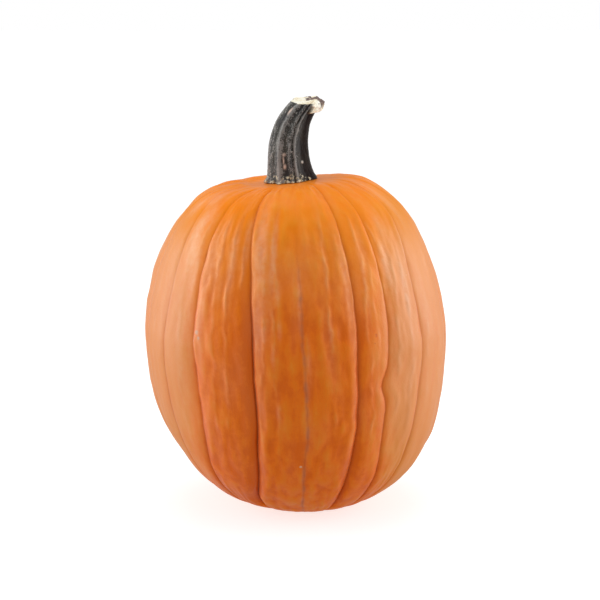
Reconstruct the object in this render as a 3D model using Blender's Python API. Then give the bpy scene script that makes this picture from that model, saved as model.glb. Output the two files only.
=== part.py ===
"""A carving pumpkin with its handle.

Two pieces grown separately enough to part with a snap: the ribbed, barrel-shaped fruit, which stands on
the small flat spot round its blossom end, and the dry woody stem, cut off slanting and seated on top.
Metres, +Z up. The origin is on the ground, under the middle of the fruit.
"""

import math

import bmesh
import bpy
from mathutils import Vector
from mathutils.geometry import interpolate_bezier

# Fruit: a superellipse above its widest ring and another below it
FRUIT_RADIUS = 0.1347
CROWN_HEIGHT = 0.1315
CROWN_POWERS = (4.2, 1.4)
BELLY_DEPTH = 0.1664
BELLY_POWERS = (2.5, 2.4)
FLAT_DEPTH = 0.162
BEND_HEIGHT = 0.150
BEND_SLANT = -0.0036
BEND_BOW = 0.0036

# Furrows, counted round from the left of the front: azimuth in degrees at the crown, the widest ring
# and the belly (0 is the front, 90 the right), and depth in millimetres
FURROWS = (
    (-55, -57, -60, 3.2),
    (-39, -39, -50, 3.6),
    (-20, -16, -22, 5.0),
    (1, 4, -1, 2.4),
    (18, 22, 20, 4.0),
    (33, 35, 38, 3.4),
    (54, 52, 52, 3.6),
    (78, 80, 92, 3.0),
    (98, 99, 106, 3.8),
    (118, 118, 121, 3.4),
    (136, 136, 136, 4.4),
    (152, 153, 154, 3.0),
    (171, 171, 170, 3.8),
    (192, 190, 191, 4.2),
    (209, 209, 211, 3.2),
    (227, 228, 227, 3.8),
    (247, 246, 245, 4.4),
    (264, 264, 266, 3.0),
    (284, 282, 281, 3.6),
)
FURROW_WIDTH = 0.14
FURROW_POWER = 1.5
RIB_SAG = 0.0012
CROWN_FADE = (0.026, 0.071)
BELLY_FADE = (0.040, 0.105)
COLUMN_PHASES = (0.0, 0.13, 0.37, 0.63, 0.87)
RING_COUNT = 36
PROFILE_STEPS = 600

# Where the stem sits, and the blossom end under the fruit
SEAT_RADIUS = 0.029
SEAT_DROP = 0.0015
SEAT_BLEND = 0.025
SEAT_TILT = math.radians(5)
TILT_RADIUS = 0.085
PIT_RADIUS = 0.016
PIT_DEPTH = 0.003

# Stem, measured from the middle of its foot, square to the seat
STEM_OFFSET = -0.0037
STEM_GAP = 0.0003
STEM_PATH = ((0.0, 0.0), (-0.002, 0.0288), (0.0, 0.0508), (0.0195, 0.0673))
CUT_TILT = math.radians(10)
CUT_LEAN = math.radians(6)
TILT_POWER = 1.5
LEAN_POWER = 3
STEM_TOP_RADIUS = 0.0128
STEM_TAPER = 0.0062
STEM_FLARE = 0.0030
STEM_FLARE_LENGTH = 0.08
STEM_RINGS = 22
STEM_COLUMNS = 48
VALLEY_DEPTH = 0.06

# Ridges of the stem: azimuth in degrees, height as a share of the radius, and width in degrees
STEM_RIDGES = (
    (-78, 0.10, 15),
    (-28, 0.14, 16),
    (22, 0.13, 12),
    (84, 0.14, 17),
    (132, 0.11, 15),
    (178, 0.13, 16),
    (228, 0.12, 15),
)


def smooth_step(value):
    value = min(1.0, max(0.0, value))
    return value * value * (3 - 2 * value)


def clear_scene():
    for obj in list(bpy.data.objects):
        bpy.data.objects.remove(obj, do_unlink=True)


def make_material(name, colour, roughness):
    material = bpy.data.materials.new(name)
    material.use_nodes = True
    shader = material.node_tree.nodes["Principled BSDF"]
    shader.inputs["Base Color"].default_value = (*colour, 1.0)
    shader.inputs["Roughness"].default_value = roughness
    shader.inputs["Metallic"].default_value = 0.0
    material.diffuse_color = (*colour, 1.0)
    return material


def rind_material():
    return make_material("rind", (0.72, 0.20, 0.025), 0.42)


def stem_material():
    return make_material("stem", (0.035, 0.033, 0.026), 0.62)


def profile_point(angle):
    """Radius and height of the fruit at an angle of a quarter turn up to minus a quarter turn."""
    powers = CROWN_POWERS if angle > 0 else BELLY_POWERS
    reach = CROWN_HEIGHT if angle > 0 else BELLY_DEPTH
    radius = FRUIT_RADIUS * abs(math.cos(angle)) ** (2 / powers[0])
    height = reach * abs(math.sin(angle)) ** (2 / powers[1])
    return radius, math.copysign(height, angle)


def profile_stations():
    """Points of the profile an equal length apart, from the rim of the seat to the rim of the pit."""
    angles = [math.pi * (0.5 - step / PROFILE_STEPS) for step in range(PROFILE_STEPS + 1)]
    points = [Vector(profile_point(angle)) for angle in angles]
    rims = [
        point
        for point in points
        if point.x >= (SEAT_RADIUS if point.y > 0 else PIT_RADIUS)
    ]
    lengths = [0.0]
    for before, after in zip(rims, rims[1:]):
        lengths.append(lengths[-1] + (after - before).length)
    stations = []
    place = 0
    for ring in range(RING_COUNT):
        wanted = lengths[-1] * ring / (RING_COUNT - 1)
        while place < len(lengths) - 2 and lengths[place + 1] < wanted:
            place += 1
        share = (wanted - lengths[place]) / (lengths[place + 1] - lengths[place])
        along = (rims[place + 1] - rims[place]).normalized()
        stations.append((rims[place].lerp(rims[place + 1], share), Vector((-along.y, along.x))))
    return stations


def furrow_azimuth(furrow, height):
    """Azimuth of a furrow, in radians, on a parabola through its three given values."""
    crown, middle, belly = furrow[:3]
    rise = max(-1.0, min(1.0, height / CROWN_HEIGHT))
    degrees = middle + rise * (crown - belly) / 2 + rise * rise * ((crown + belly) / 2 - middle)
    return math.radians(degrees)


def furrow_pair(column):
    """The furrows on both sides of a column, and how far round from the first to the second it is."""
    lobe = column // len(COLUMN_PHASES)
    first = FURROWS[lobe]
    second = FURROWS[(lobe + 1) % len(FURROWS)]
    if lobe + 1 == len(FURROWS):
        second = tuple(azimuth + 360 for azimuth in second[:3]) + second[3:]
    return first, second, COLUMN_PHASES[column % len(COLUMN_PHASES)]


def rib_inset(first, second, phase):
    """How far the skin lies inside the crowns of the ribs: a sharp furrow, and a slow sag beside it."""
    from_first = math.exp(-((phase / FURROW_WIDTH) ** FURROW_POWER)) * first[3]
    from_second = math.exp(-(((1 - phase) / FURROW_WIDTH) ** FURROW_POWER)) * second[3]
    return (from_first + from_second) / 1000 + RIB_SAG * (2 * phase - 1) ** 2


def fruit_bend(height):
    """Sideways shift of the fruit's axis, which isn't quite upright or straight."""
    share = height / BEND_HEIGHT
    return BEND_SLANT * share + BEND_BOW * share * share


def crown_tilt(radius, x):
    """Rise of the crown towards the right, which fades out down the shoulders."""
    spread = (radius - SEAT_RADIUS) / (TILT_RADIUS - SEAT_RADIUS)
    return math.tan(SEAT_TILT) * x * (1 - smooth_step(spread))


def fruit_point(column, station):
    (radius, height), normal = station
    first, second, phase = furrow_pair(column)
    start = furrow_azimuth(first, height)
    azimuth = start + phase * (furrow_azimuth(second, height) - start)
    start_radius, full_radius = CROWN_FADE if height > 0 else BELLY_FADE
    fade = smooth_step((radius - start_radius) / (full_radius - start_radius))
    inset = rib_inset(first, second, phase) * fade
    radius -= normal.x * inset
    lift = -normal.y * inset
    x = radius * math.sin(azimuth)
    if height > 0:
        lift -= SEAT_DROP * (1 - smooth_step((radius - SEAT_RADIUS) / SEAT_BLEND))
        lift += crown_tilt(radius, x)
    z = max(height + lift, -FLAT_DEPTH)
    return Vector((x + fruit_bend(height), -radius * math.cos(azimuth), z))


def seat_centre():
    return Vector((fruit_bend(CROWN_HEIGHT), 0.0, CROWN_HEIGHT - SEAT_DROP))


def blossom_point():
    return Vector((fruit_bend(-BELLY_DEPTH), 0.0, PIT_DEPTH - FLAT_DEPTH))


def build_fruit(collection):
    columns = len(FURROWS) * len(COLUMN_PHASES)
    stations = profile_stations()
    work = bmesh.new()
    bmesh.ops.create_uvsphere(work, u_segments=columns, v_segments=RING_COUNT + 1, radius=1.0)
    for vertex in work.verts:
        ring = round(math.acos(max(-1.0, min(1.0, vertex.co.z))) / math.pi * (RING_COUNT + 1))
        column = round(math.atan2(vertex.co.y, vertex.co.x) / math.tau * columns) % columns
        if ring == 0:
            vertex.co = seat_centre()
        elif ring == RING_COUNT + 1:
            vertex.co = blossom_point()
        else:
            vertex.co = fruit_point(column, stations[ring - 1])
    mesh = bpy.data.meshes.new("fruit")
    work.to_mesh(mesh)
    work.free()
    mesh.shade_smooth()
    mesh.materials.append(rind_material())
    fruit = bpy.data.objects.new("fruit", mesh)
    collection.objects.link(fruit)
    return fruit


def ridge_height(azimuth):
    """Share of the radius by which the stem's ridges stand out at an azimuth in radians."""
    height = 0.0
    for centre, rise, width in STEM_RIDGES:
        apart = math.remainder(azimuth - math.radians(centre), math.tau)
        height += rise * math.exp(-((apart / math.radians(width)) ** 2))
    return height


def stem_radius(share):
    flare = STEM_FLARE * math.exp(-share / STEM_FLARE_LENGTH)
    return STEM_TOP_RADIUS + STEM_TAPER * (1 - share) + flare


def stem_ring(work, centre, share):
    """One section of the stem: square to the seat at the foot, and on the slanting cut at the top."""
    tilt = CUT_TILT * share**TILT_POWER
    lean = CUT_LEAN * share**LEAN_POWER
    across = Vector((math.cos(tilt), 0.0, -math.sin(tilt)))
    toward = Vector((0.0, -math.cos(lean), -math.sin(lean)))
    ring = []
    for column in range(STEM_COLUMNS):
        azimuth = math.tau * column / STEM_COLUMNS
        reach = stem_radius(share) * (1 - VALLEY_DEPTH + ridge_height(azimuth))
        offset = across * math.sin(azimuth) + toward * math.cos(azimuth)
        ring.append(work.verts.new(centre + offset * reach))
    return ring


def build_stem(collection):
    handles = [Vector((x, 0.0, z)) for x, z in STEM_PATH]
    centres = interpolate_bezier(*handles, STEM_RINGS)
    work = bmesh.new()
    rings = [
        stem_ring(work, centre, index / (STEM_RINGS - 1))
        for index, centre in enumerate(centres)
    ]
    for lower, upper in zip(rings, rings[1:]):
        for column in range(STEM_COLUMNS):
            after = (column + 1) % STEM_COLUMNS
            work.faces.new((lower[column], lower[after], upper[after], upper[column]))
    work.faces.new(reversed(rings[0]))
    work.faces.new(rings[-1])
    bmesh.ops.recalc_face_normals(work, faces=work.faces)
    mesh = bpy.data.meshes.new("stem")
    work.to_mesh(mesh)
    work.free()
    mesh.shade_smooth()
    mesh.set_sharp_from_angle(angle=math.radians(40))
    mesh.materials.append(stem_material())
    stem = bpy.data.objects.new("stem", mesh)
    collection.objects.link(stem)
    return stem


def stand_on_ground(fruit):
    """Puts the flat spot on the ground and the middle of the fruit's width and depth over the origin."""
    xs = [vertex.co.x for vertex in fruit.data.vertices]
    ys = [vertex.co.y for vertex in fruit.data.vertices]
    fruit.location = (-(min(xs) + max(xs)) / 2, -(min(ys) + max(ys)) / 2, FLAT_DEPTH)


def seat_stem(stem, fruit):
    up = Vector((-math.sin(SEAT_TILT), 0.0, math.cos(SEAT_TILT)))
    right = Vector((math.cos(SEAT_TILT), 0.0, math.sin(SEAT_TILT)))
    stem.parent = fruit
    stem.location = seat_centre() + right * STEM_OFFSET + up * STEM_GAP
    stem.rotation_euler = (0.0, -SEAT_TILT, 0.0)


def main():
    clear_scene()
    collection = bpy.data.collections.new("pumpkin")
    bpy.context.scene.collection.children.link(collection)
    fruit = build_fruit(collection)
    stem = build_stem(collection)
    stand_on_ground(fruit)
    seat_stem(stem, fruit)


main()
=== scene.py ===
import math

import bpy
import numpy as np
from mathutils import Matrix, Vector, noise


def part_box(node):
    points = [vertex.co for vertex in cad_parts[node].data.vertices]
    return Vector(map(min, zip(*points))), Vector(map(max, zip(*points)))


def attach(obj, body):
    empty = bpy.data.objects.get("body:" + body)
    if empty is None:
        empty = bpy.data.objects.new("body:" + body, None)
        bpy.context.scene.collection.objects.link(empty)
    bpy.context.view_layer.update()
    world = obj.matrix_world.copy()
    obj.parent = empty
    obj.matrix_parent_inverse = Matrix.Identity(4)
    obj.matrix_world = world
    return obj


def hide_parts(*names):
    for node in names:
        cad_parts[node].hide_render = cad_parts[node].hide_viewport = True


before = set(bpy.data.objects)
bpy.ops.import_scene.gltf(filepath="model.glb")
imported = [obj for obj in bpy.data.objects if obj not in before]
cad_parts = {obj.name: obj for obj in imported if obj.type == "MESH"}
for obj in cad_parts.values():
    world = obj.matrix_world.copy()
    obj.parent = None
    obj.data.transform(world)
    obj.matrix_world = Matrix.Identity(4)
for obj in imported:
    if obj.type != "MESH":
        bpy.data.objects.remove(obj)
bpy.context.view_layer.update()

fruit_low, fruit_high = (np.array(corner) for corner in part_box("fruit"))

MM = 0.001

# ---------------------------------------------------------------- fruit: the form under the ribs
FLAT_DEPTH = 0.162  # widest ring down to the flat spot
FRUIT_RADIUS = (fruit_high[0] - fruit_low[0]) / 2
CROWN_HEIGHT = 0.1315
CROWN_POWERS = (4.2, 1.4)
BELLY_DEPTH = 0.1664
BELLY_POWERS = (2.5, 2.4)
BEND_HEIGHT = 0.150
BEND_SLANT = -0.0036
BEND_BOW = 0.0036
SEAT_RADIUS = 0.029
SEAT_DROP = 0.0015
SEAT_BLEND = 0.025
SEAT_TILT = math.radians(5)
TILT_RADIUS = 0.085
PIT_RADIUS = 0.016
PIT_DEPTH = 0.003
FRUIT_CENTRE = np.array([0.0003, -0.0001, FLAT_DEPTH])

# Furrows round the fruit: azimuths in degrees at the five levels (0 is the front, 90 the right), then
# the crease's depth, the drop and width of the rounded flanks, in millimetres, and how dark the painted
# shade in the crease is near the top, in the middle and near the bottom
LEVELS = (0.125, 0.06, 0, -0.065, -0.125)
FURROWS = (
    ((-57, -56, -57.5, -57.5, -60), 0.3, 0.95, 3.6, (0.1, 0.2, 0.3)),
    ((-39, -40.3, -39.7, -39, -46), 0.4, 1.7, 3.6, (0.1, 0.2, 0.3)),
    ((-22, -17.5, -16, -16.1, -20.8), 1.2, 5.6, 6, (0.1, 0.65, 0.6)),
    ((0, 1.8, 3, 3.5, 0.4), 0.5, 0.5, 4, (0, 0.15, 0.3)),
    ((20, 22.7, 23.1, 23, 21.3), 0.8, 4, 4.5, (0.15, 0.3, 0.35)),
    ((34.8, 36.3, 36, 34.4, 36.6), 0.5, 1.95, 4.2, (0.1, 0.25, 0.3)),
    ((60, 53.2, 54.3, 51.8, 50.3), 0.4, 1.8, 4, (0.1, 0.2, 0.2)),
    ((78, 79, 80, 81, 83), 0.3, 1.4, 6, (0.1, 0.2, 0.3)),
    ((98, 98, 99, 102, 106), 0.8, 3.2, 7, (0.2, 0.4, 0.5)),
    ((118, 118, 118, 119, 121), 0.4, 2.4, 6, (0.1, 0.2, 0.2)),
    ((136, 137, 136, 135, 136), 1.1, 4.2, 7, (0.2, 0.7, 0.9)),
    ((152, 152, 153, 154, 154), 0.5, 1.4, 5, (0.1, 0.2, 0.3)),
    ((171, 172, 171, 170, 170), 0.8, 3.4, 7, (0.3, 0.4, 0.4)),
    ((192, 191, 190, 190, 191), 0.9, 3.6, 7, (0.2, 0.6, 0.8)),
    ((209, 208, 209, 210, 211), 0.4, 2.4, 6, (0.1, 0.2, 0.3)),
    ((227, 228, 228, 227, 227), 0.5, 3, 7, (0.1, 0.3, 0.3)),
    ((247, 247, 246, 245, 245), 1, 3.8, 7, (0.2, 0.6, 0.7)),
    ((264, 264, 264, 265, 266), 0.4, 2.4, 6, (0.1, 0.2, 0.3)),
    ((284, 283, 282, 282, 281), 0.4, 2.6, 6, (0.1, 0.3, 0.3)),
)
SEAM = 3  # the furrow that is a corky hairline seam
TURNING_FURROW = 5  # cords left of it are steep on their right, and the others on their left
# Cords inside the lobes: azimuths at the five levels, the heights where they begin and end, and their
# rise and half width in millimetres
CORDS = (
    ((-11, -7.6, -7.2, -7.2, -10), 0.124, -0.11, 0.75, 1.15),
    ((-15, -11.8, -12, -13.4, -16), 0.1, -0.06, 0.45, 1),
    ((12.3, 12.5, 13, 13.4, 12), 0.122, -0.08, 0.8, 1.2),
    ((3.5, 5, 5, 4.4, 3), 0.025, -0.065, 0.35, 1.8),
    ((-28, -25.8, -25.5, -26.5, -30), 0.124, -0.09, 0.6, 1.3),
    ((-33, -32, -31.5, -31, -36), 0.12, -0.08, 0.38, 1.7),
    ((27, 28.8, 27.4, 28.8, 28), 0.124, -0.09, 0.42, 1.3),
    ((30, 31.5, 31.5, 31, 31), 0.085, -0.055, 0.3, 1.4),
    ((45, 42.5, 41, 40, 41), 0.12, -0.08, 0.38, 2.4),
    ((52, 48.5, 47.5, 46.3, 46), 0.09, -0.09, 0.3, 2.2),
    ((-49, -48, -47.5, -48, -52), 0.122, -0.1, 0.3, 2),
    ((-35, -36, -36, -36, -38), 0.126, 0.07, 0.3, 1.2),
    ((-44, -44, -44, -44, -46), 0.128, 0.06, 0.3, 1.3),
    ((-51, -52, -52, -52, -54), 0.126, 0.05, 0.26, 1.4),
    ((-20.5, -21.5, -21, -21, -24), 0.122, 0.03, 0.35, 1.1),
    ((36, 39, 38, 38, 38), 0.126, 0.07, 0.26, 1.3),
    ((47, 49, 49, 49, 49), 0.126, 0.07, 0.26, 1.3),
    ((59, 58.5, 58.5, 58, 57), 0.085, -0.095, 0.28, 2.4),
    ((70, 69, 69, 69, 70), 0.09, -0.1, 0.36, 2.6),
    ((-66, -66, -66, -67, -68), 0.09, -0.09, 0.22, 2.6),
    ((108, 108, 109, 110, 112), 0.08, -0.09, 0.6, 2.2),
    ((127, 127, 127, 128, 128), 0.09, -0.06, 0.8, 2.2),
    ((144, 145, 144, 144, 145), 0.06, -0.1, 0.6, 2),
    ((162, 162, 163, 163, 162), 0.1, -0.09, 0.8, 2.2),
    ((181, 181, 180, 180, 181), 0.09, -0.05, 0.9, 2.2),
    ((200, 200, 200, 201, 201), 0.08, -0.1, 0.6, 2),
    ((219, 218, 219, 218, 219), 0.09, -0.08, 0.8, 2.4),
    ((237, 237, 238, 237, 237), 0.06, -0.1, 0.6, 2),
    ((255, 256, 255, 255, 256), 0.09, -0.07, 0.7, 2.2),
    ((273, 274, 273, 273, 273), 0.08, -0.1, 0.6, 2.2),
)
# Uneven swellings: rise in millimetres, how far apart they are across and along the ribs in metres, and an
# offset. LUMPINESS says how strong the finer ones are on each lobe.
BROAD_SWELLING = (0.9, 0.021, 0.050, 3.0)
LUMPINESS = (0.4, 0.9, 1.5, 1.35, 0.75, 0.70, 0.4, 0.5, 0.8, 0.7, 0.9, 0.8, 0.9, 0.8, 0.9, 0.7, 0.8, 0.6, 0.5)
SWELLINGS = ((0.5, 0.0075, 0.027, 0.0), (0.16, 0.0040, 0.024, 7.0), (0.46, 0.0066, 0.011, 11.0))
STEEP_SIDE = 1.7  # factor on the distance from a cord's middle on its steep side, which narrows it
GENTLE_SIDE = 0.75  # and on its other side, which widens it
CORD_WAX_AND_SHEEN = 0.034  # waxy bloom and painted sheen on a cord of full height
# Long sloping shoulders beside a furrow: its number, 0 for its right side and 1 for its left, drop and
# width in millimetres, and the waxy bloom and painted sheen over them
SHOULDERS = ((2, 0, 2.4, 11, 0.03), (4, 1, 2, 9, 0.025))
# Pale waxy bloom and painted sheen: azimuth in degrees, height over the widest ring and half size across
# and along in millimetres, and strength
WAX_AND_SHEEN_SPOTS = (
    (-15, 108, 5, 14, 0.05), (5, 66, 24, 32, 0.022), (27, 58, 8, 26, 0.015), (1.8, 44, 2, 26, 0.04),
    (45, 98, 6, 14, 0.06), (-27.5, 88, 4, 20, 0.04), (-14.5, 84, 5.5, 22, 0.13), (-13.5, 50, 5, 22, 0.06),
    (-13, 16, 4.5, 20, 0.04), (-11, 18, 1.6, 7, 0.05), (-8.8, 84, 2.6, 26, 0.1), (-6.3, 50, 2.2, 8, 0.06),
    (-5.5, 22, 2, 8, 0.06), (-8, 0, 1.8, 8, 0.05), (-7, -48, 1.6, 8, 0.04), (4.8, -5, 2, 20, 0.03),
    (12.6, 74, 2.4, 20, 0.04), (13, 22, 2, 12, 0.04), (20.3, 74, 3.5, 20, 0.05), (20.6, 40, 3.5, 25, 0.05),
    (29.5, 84, 5, 20, 0.055), (28.6, 50, 2.2, 25, 0.05), (34.6, 20, 1.8, 30, 0.02), (-21, 85, 3, 18, 0.06),
    (-26.3, 76, 3, 22, 0.06), (-37.2, 74, 6, 24, 0.09), (-37.2, 35, 4, 24, 0.07), (-36.6, -5, 3, 20, 0.03),
    (40.8, 70, 5, 19, 0.14), (48.5, 54, 4.5, 20, 0.08), (47.5, 33, 3, 9, 0.05), (39.8, 20, 3.5, 9, 0.03),
    (41.5, -3, 3, 8, 0.015), (-10, 45, 8, 40, 0.03), (-45, 66, 6, 22, 0.06), (-33, 72, 5, 26, 0.05),
    (-26, 60, 5, 30, 0.03), (-50, 92, 6, 20, 0.1), (-66, 112, 8, 8, 0.1), (-56, 119, 7, 6, 0.12),
    (-48, 107, 5, 9, 0.08), (-43.5, 66, 2.5, 25, 0.05), (-38, 26, 2, 20, 0.03), (-30, 53, 3, 12, 0.04),
    (-43, 103, 4, 10, 0.05), (-33, 102, 4, 9, 0.04), (-22, 101, 3, 9, 0.04), (-47, 80, 4.5, 16, 0.09),
    (-52, 99, 4, 12, 0.05), (66, 118, 8, 16, 0.07), (88, 60, 8, 30, 0.08), (108, 76, 5, 24, 0.12),
    (130, 40, 3, 26, 0.08), (164, 80, 5, 24, 0.12), (181, 30, 3, 24, 0.07), (200, 78, 6, 22, 0.12),
    (238, 66, 4, 26, 0.1), (256, 36, 5, 30, 0.08), (274, 80, 5, 24, 0.1),
)
# Thin waxy bloom and painted sheen all over: strength, how far apart its patches are across and along the
# ribs, and an offset
HAZE_PATCHES = (0.035, 0.012, 0.050, 17.0)
HAZE_CLEAR = (0.034, 0.068)  # radii between which the haze ends towards the stem
# Hills and dents of the crown: azimuth in degrees, radius, half size and rise in millimetres
CROWN_HILLS = ((160, 56, 14, -5.4), (214, 56, 12, 1), (95, 62, 20, 2), (-92, 96, 20, -3),
               (-72, 54, 12, 1.8), (-122, 46, 9, -2.4))
STEM_CLEAR = (0.022, 0.034)  # radii between which they end towards the stem
# Hills and dents of the sides: azimuth in degrees, height, half size and rise in millimetres
SIDE_HILLS = ((88, -98, 20, 2), (-70, -106, 20, -2.4), (90, 25, 40, 0.4), (-88, -60, 20, 0.7),
              (-90, 45, 20, 0.6), (90, 72, 22, -1.4), (-90, 60, 16, 0.9))
# How deep the furrows' flanks are, as a share, at a few heights in metres
DEPTH_LEVELS = (-0.11, -0.04, 0.02, 0.06, 0.115)
DEPTH_SHARES = (1.02, 0.9, 0.8, 0.5, 0.3)
# How much paler (or deeper, below 0) the colour of each lobe is
LOBE_TONE = (0, -0.38, 0, 0, 0, 0, 0.05, 0.1, -0.1, 0.1, 0, -0.1, 0.1, -0.1, 0.1, 0, 0.1, -0.05, 0.05)
FURROW_SHADE_DARKNESS = 1.1  # how much deeper the colour is in a furrow: painted shade
FURROW_SHADE_WIDTH = 0.0040
FURROW_SHADE_SHARE = 0.80  # the depth share under which the furrows' painted shade fades
CREST_HEIGHT = 0.0010  # the swelling at which the painted light on swellings is full and the skin palest
# Columns of the mesh on each lobe
LOBE_COLUMNS = (26, 58, 52, 54, 36, 46, 36, 26, 26, 24, 24, 26, 26, 26, 24, 26, 24, 26, 34)
GATHER = 0.09  # how far the columns gather towards the furrows
RINGS = 150
CREASE_WIDTH = 0.0012
LINE_WIDTH = 0.0009  # the dark line of painted shade in a crease
SEAM_WIDTH = 0.0017
FURROW_WANDER = 0.3  # degrees
SEAM_WANDER = 0.35  # degrees, over a shorter length
# Kinks in furrows: number, height in metres, how far they turn in degrees and half length in metres
KINKS = ((2, -0.152, -7, 0.022), (5, -0.03, -2.2, 0.011), (8, 0.03, 1.5, 0.014), (13, -0.02, -1.5, 0.012),
         (16, 0.045, 1.4, 0.012))
# Radii between which the ribs grow from nothing, on the crown and under the belly
CROWN_FADE = (0.024, 0.060)
BELLY_FADE = (0.036, 0.090)
# The blossom end: rings that close its dimple, and the corky button's rise in metres, and its edge and that
# edge's width as shares of the dimple's radius
BLOSSOM_RINGS = 7
BUTTON_RISE = 0.0012
BUTTON_SHARE = 0.42
BUTTON_EDGE = 0.15
# Furrows: powers of their cross-sections, a flank's least width near the fruit's ends, the share of its
# depth that a crease keeps where its painted shade isn't dark, and the seam's share of the furrows' painted
# shade
CREASE_CURVE = 1.2
LINE_CURVE = 1.5
SEAM_CURVE = 3
NARROWEST_FLANK = 0.35
LEAST_CREASE = 0.3
SEAM_FURROW_SHADE = 0.3
SHOULDER_CURVE = 1.5
SHOULDER_HAZE = 0.75  # the share of a shoulder's width that the haze covers
# How cords wander: length of the swings in metres, degrees and first seed
CORD_WANDER = ((0.030, 0.9, 0), (0.009, 0.6, 30))
CORD_SWELL = (0.7, 0.8)  # mean height of a cord as a share of its rise, and how much that swings
CORD_SWELL_LIMITS = (0.1, 1.7)
CORD_SWELL_LENGTH = 0.012
CORD_SWELL_SEED = 50
CORD_FADE = 0.03  # the length over which a cord's ends run out
HAZE_EDGE = 1.4  # how sharply a patch of haze ends
HAZE_COVER = 0.2  # how far the thin patches spread
FURROW_WANDER_LENGTH = 0.022
FURROW_SEED = 20
SEAM_WANDER_LENGTH = 0.009
SEAM_SEED = 90
PROFILE_LENGTH = 0.44  # about as long as the skin is from the seat to the dimple
PROFILE_STEPS = 4001
NOISE_GAIN = 1.6  # brings Perlin noise along a line to about -1 to 1
NOISE_ROW = 7.3  # how far apart the lines of two seeds lie in the noise
NOISE_LEVEL = 0.5


def smooth_step(value):
    value = np.clip(value, 0.0, 1.0)
    return value * value * (3 - 2 * value)


def turn_from(azimuth, centre):
    """The angle from a centre to each azimuth, -pi to pi."""
    return np.remainder(azimuth - centre + math.pi, math.tau) - math.pi


def through(levels, values, place):
    """A smooth curve through a few points (cubic Hermite), straight beyond the ends."""
    levels = np.array(levels, float)[::-1]
    values = np.array(values, float)[::-1]
    slopes = np.gradient(values, levels)
    place = np.asarray(place, float)
    inner = np.clip(place, levels[0], levels[-1])
    start = np.clip(np.searchsorted(levels, inner) - 1, 0, len(levels) - 2)
    span = levels[start + 1] - levels[start]
    t = (inner - levels[start]) / span
    first = (1 + 2 * t) * (1 - t) ** 2 * values[start] + t * (1 - t) ** 2 * span * slopes[start]
    second = t * t * (3 - 2 * t) * values[start + 1] - t * t * (1 - t) * span * slopes[start + 1]
    end_slope = np.where(place < levels[0], slopes[0], slopes[-1])
    return first + second + (place - inner) * end_slope


def curve_noise(height, length, seed):
    """Smooth noise along a line, about -1 to 1, with swings about one length apart."""
    row = seed * NOISE_ROW
    return np.array([noise.noise(Vector((h / length, row, NOISE_LEVEL))) for h in height]) * NOISE_GAIN


def noise_field(points, scale, stretch=(1, 1, 1), offset=0.0, octaves=1):
    """Perlin noise at every point, about -1 to 1."""
    flat = points.reshape(-1, 3) * scale * np.array(stretch) + offset
    values = np.zeros(len(flat))
    for octave in range(octaves):
        factor = 2.0 ** octave
        values += np.array([noise.noise(Vector(point)) for point in flat * factor]) / factor
    return values.reshape(points.shape[:-1])


def grid_mesh(name, points, first_pole, last_pole):
    """A mesh from rows of points that close round, with a pole at each end."""
    rows, columns = points.shape[:2]
    row, column = np.mgrid[0 : rows - 1, 0:columns]
    after = (column + 1) % columns
    quads = np.stack(
        [row * columns + column, (row + 1) * columns + column,
         (row + 1) * columns + after, row * columns + after], axis=-1).reshape(-1, 4)
    vertices = np.vstack([points.reshape(-1, 3), first_pole, last_pole])
    first = rows * columns
    last_row = (rows - 1) * columns
    faces = quads.tolist()
    faces += [(first, c, (c + 1) % columns) for c in range(columns)]
    faces += [(first + 1, last_row + (c + 1) % columns, last_row + c) for c in range(columns)]
    mesh = bpy.data.meshes.new(name)
    mesh.from_pydata(vertices.tolist(), [], faces)
    mesh.update()
    mesh.shade_smooth()
    return mesh


def add_attribute(mesh, name, values, poles):
    layer = mesh.attributes.new(name, "FLOAT", "POINT")
    data = np.concatenate([np.asarray(values, np.float32).reshape(-1), np.asarray(poles, np.float32)])
    layer.data.foreach_set("value", data)


def place_piece(name, mesh):
    piece = bpy.data.objects.new(name, mesh)
    bpy.context.scene.collection.objects.link(piece)
    return piece


def fruit_profile(count):
    """Radius, height and outward normal at points an equal length apart, from the seat to the pit."""
    angle = np.linspace(math.pi / 2, -math.pi / 2, PROFILE_STEPS)
    crown = angle > 0
    power_r = np.where(crown, CROWN_POWERS[0], BELLY_POWERS[0])
    power_z = np.where(crown, CROWN_POWERS[1], BELLY_POWERS[1])
    reach = np.where(crown, CROWN_HEIGHT, BELLY_DEPTH)
    radius = FRUIT_RADIUS * np.abs(np.cos(angle)) ** (2 / power_r)
    height = reach * np.sign(np.sin(angle)) * np.abs(np.sin(angle)) ** (2 / power_z)
    keep = radius >= np.where(crown, SEAT_RADIUS, PIT_RADIUS)
    radius, height = radius[keep], height[keep]
    length = np.concatenate([[0], np.cumsum(np.hypot(np.diff(radius), np.diff(height)))])
    wanted = np.linspace(0, length[-1], count)
    radius = np.interp(wanted, length, radius)
    height = np.interp(wanted, length, height)
    along_r, along_z = np.gradient(radius), np.gradient(height)
    size = np.hypot(along_r, along_z)
    return radius, height, -along_z / size, along_r / size


def furrow_azimuths(height):
    """The furrows' azimuths in radians, a row for each height, with the first furrow again at the end."""
    azimuths = np.stack(
        [through(LEVELS, row[0], height) + FURROW_WANDER * curve_noise(height, FURROW_WANDER_LENGTH, seed)
         for seed, row in enumerate(FURROWS, FURROW_SEED)], axis=1)
    azimuths[:, SEAM] += SEAM_WANDER * curve_noise(height, SEAM_WANDER_LENGTH, SEAM_SEED)
    for furrow, place, turn, length in KINKS:
        azimuths[:, furrow] += turn * np.exp(-(((height - place) / length) ** 2))
    azimuths = np.radians(azimuths)
    return np.concatenate([azimuths, azimuths[:, :1] + math.tau], axis=1)


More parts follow.
